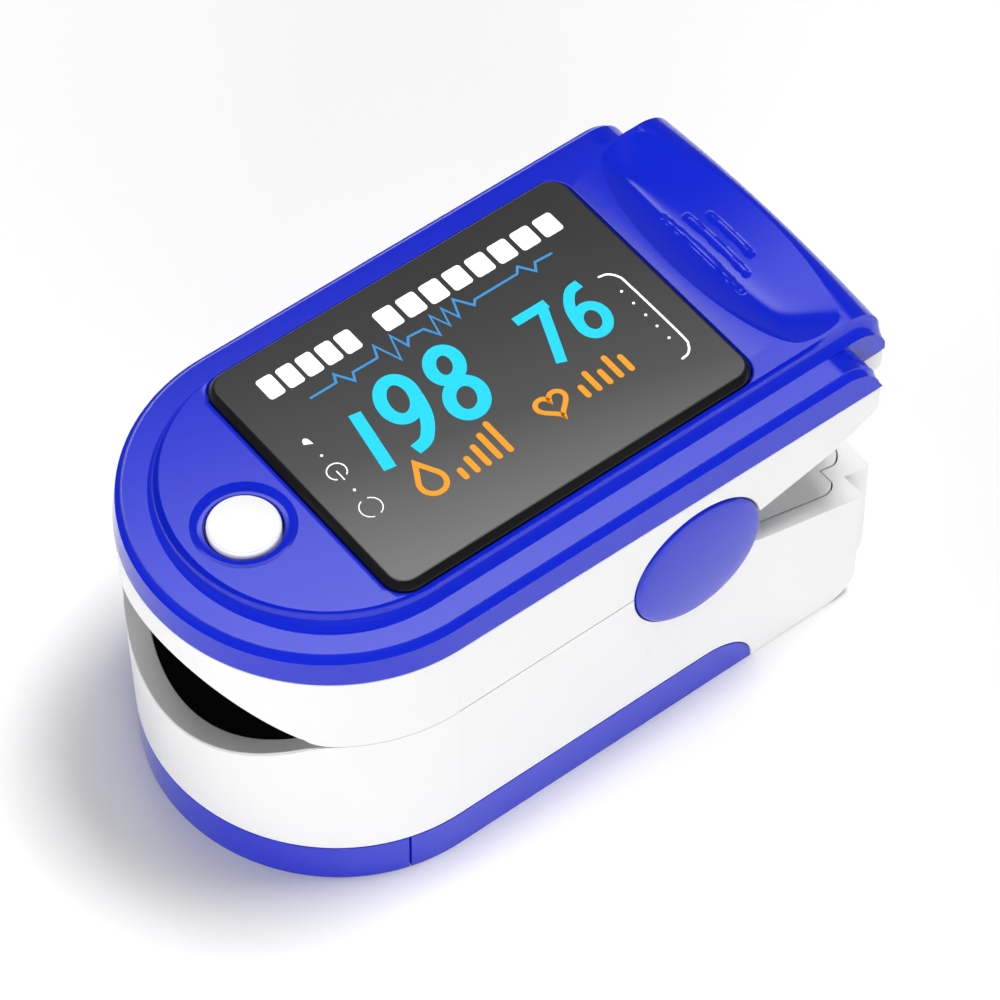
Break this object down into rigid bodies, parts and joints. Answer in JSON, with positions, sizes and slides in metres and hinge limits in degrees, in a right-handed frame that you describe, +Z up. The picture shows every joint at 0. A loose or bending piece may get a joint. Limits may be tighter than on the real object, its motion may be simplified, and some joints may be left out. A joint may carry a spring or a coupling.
{
  "type": "fingertip pulse oximeter",
  "caption": "Clip-on fingertip pulse oximeter: sprung upper and lower jaws around a finger opening, display window and power button on top, sliding battery door below.",
  "frame": {"origin": "centre of the bounding box's footprint, on the surface that the oximeter stands on", "axes": "-Y is the finger opening, +Y the rear grips, +X the right side seen from the finger opening, +Z up through the display"},
  "size_m": [0.0348, 0.0626, 0.0329],
  "materials": {
    "blue_shell": "polished moulded ABS",
    "white_shell": "smooth moulded ABS",
    "inner_frame": "moulded ABS, satin",
    "lip_grey": "satin",
    "pad_black": "matte silicone",
    "window_dark": "smoked, polished",
    "sensor_clear": "clear",
    "screen": "dark display panel",
    "circuit_green": "solder mask",
    "chip_black": "moulded epoxy",
    "steel": "bright wire and turned steel",
    "nickel": "nickel-plated strip",
    "cell_wrap": "printed metal-effect wrap",
    "ribbon": "flexible flat cable"
  },
  "bodies": {
    "lower_jaw": {"lower_shell": "white_shell", "lower_deck": "inner_frame", "lower_lip": "lip_grey", "lower_finger_pad": "pad_black", "detector_window": "sensor_clear", "photodiode": "chip_black", "cell_left": "cell_wrap", "cell_right": "cell_wrap", "contact_bridge": "nickel", "contact_positive": "nickel", "contact_negative": "nickel", "contact_spring_front": "steel", "contact_spring_rear": "steel", "hinge_pin": "steel", "torsion_spring_right": "steel", "torsion_spring_left": "steel", "pivot_cap_right": "blue_shell", "pivot_cap_left": "blue_shell", "deck_screw_1": "steel", "deck_screw_2": "steel", "deck_screw_3": "steel", "deck_screw_4": "steel", "jaw_ribbon": "ribbon"},
    "upper_jaw": {"upper_shell": "white_shell", "upper_deck": "inner_frame", "upper_lip": "lip_grey", "upper_finger_pad": "pad_black", "emitter_window": "sensor_clear", "light_emitter": "sensor_clear", "top_cover": "blue_shell", "display_window": "window_dark", "display_module": "screen", "display_ribbon": "ribbon", "circuit_board": "circuit_green", "processor_chip": "chip_black", "amplifier_chip": "chip_black", "power_chip": "chip_black", "tact_switch": "steel", "board_screw_1": "steel", "board_screw_2": "steel", "board_screw_3": "steel", "board_screw_4": "steel", "cover_screw_1": "steel", "cover_screw_2": "steel"},
    "power_button": {"power_button": "white_shell"},
    "battery_door": {"battery_door": "blue_shell", "door_front_trim": "blue_shell"}
  },
  "joints": [
    {"name": "jaw_hinge", "type": "hinge", "parent": "lower_jaw", "child": "upper_jaw", "pos_m": [0, 0.0097, 0.01912], "axis": [-1, 0, 0], "range_deg": [0, 25], "stiffness_Nm_per_rad": 0.15, "springref_deg": -22.92, "deforming": ["torsion_spring_right", "torsion_spring_left", "jaw_ribbon"]},
    {"name": "button_press", "type": "slide", "parent": "upper_jaw", "child": "power_button", "axis": [0, 0, -1], "range_m": [0, 0.0005], "stiffness_N_per_m": 800, "springref_m": -0.0005},
    {"name": "door_slide", "type": "slide", "parent": "lower_jaw", "child": "battery_door", "axis": [0, -1, 0], "range_m": [0, 0.02]}
  ]
}
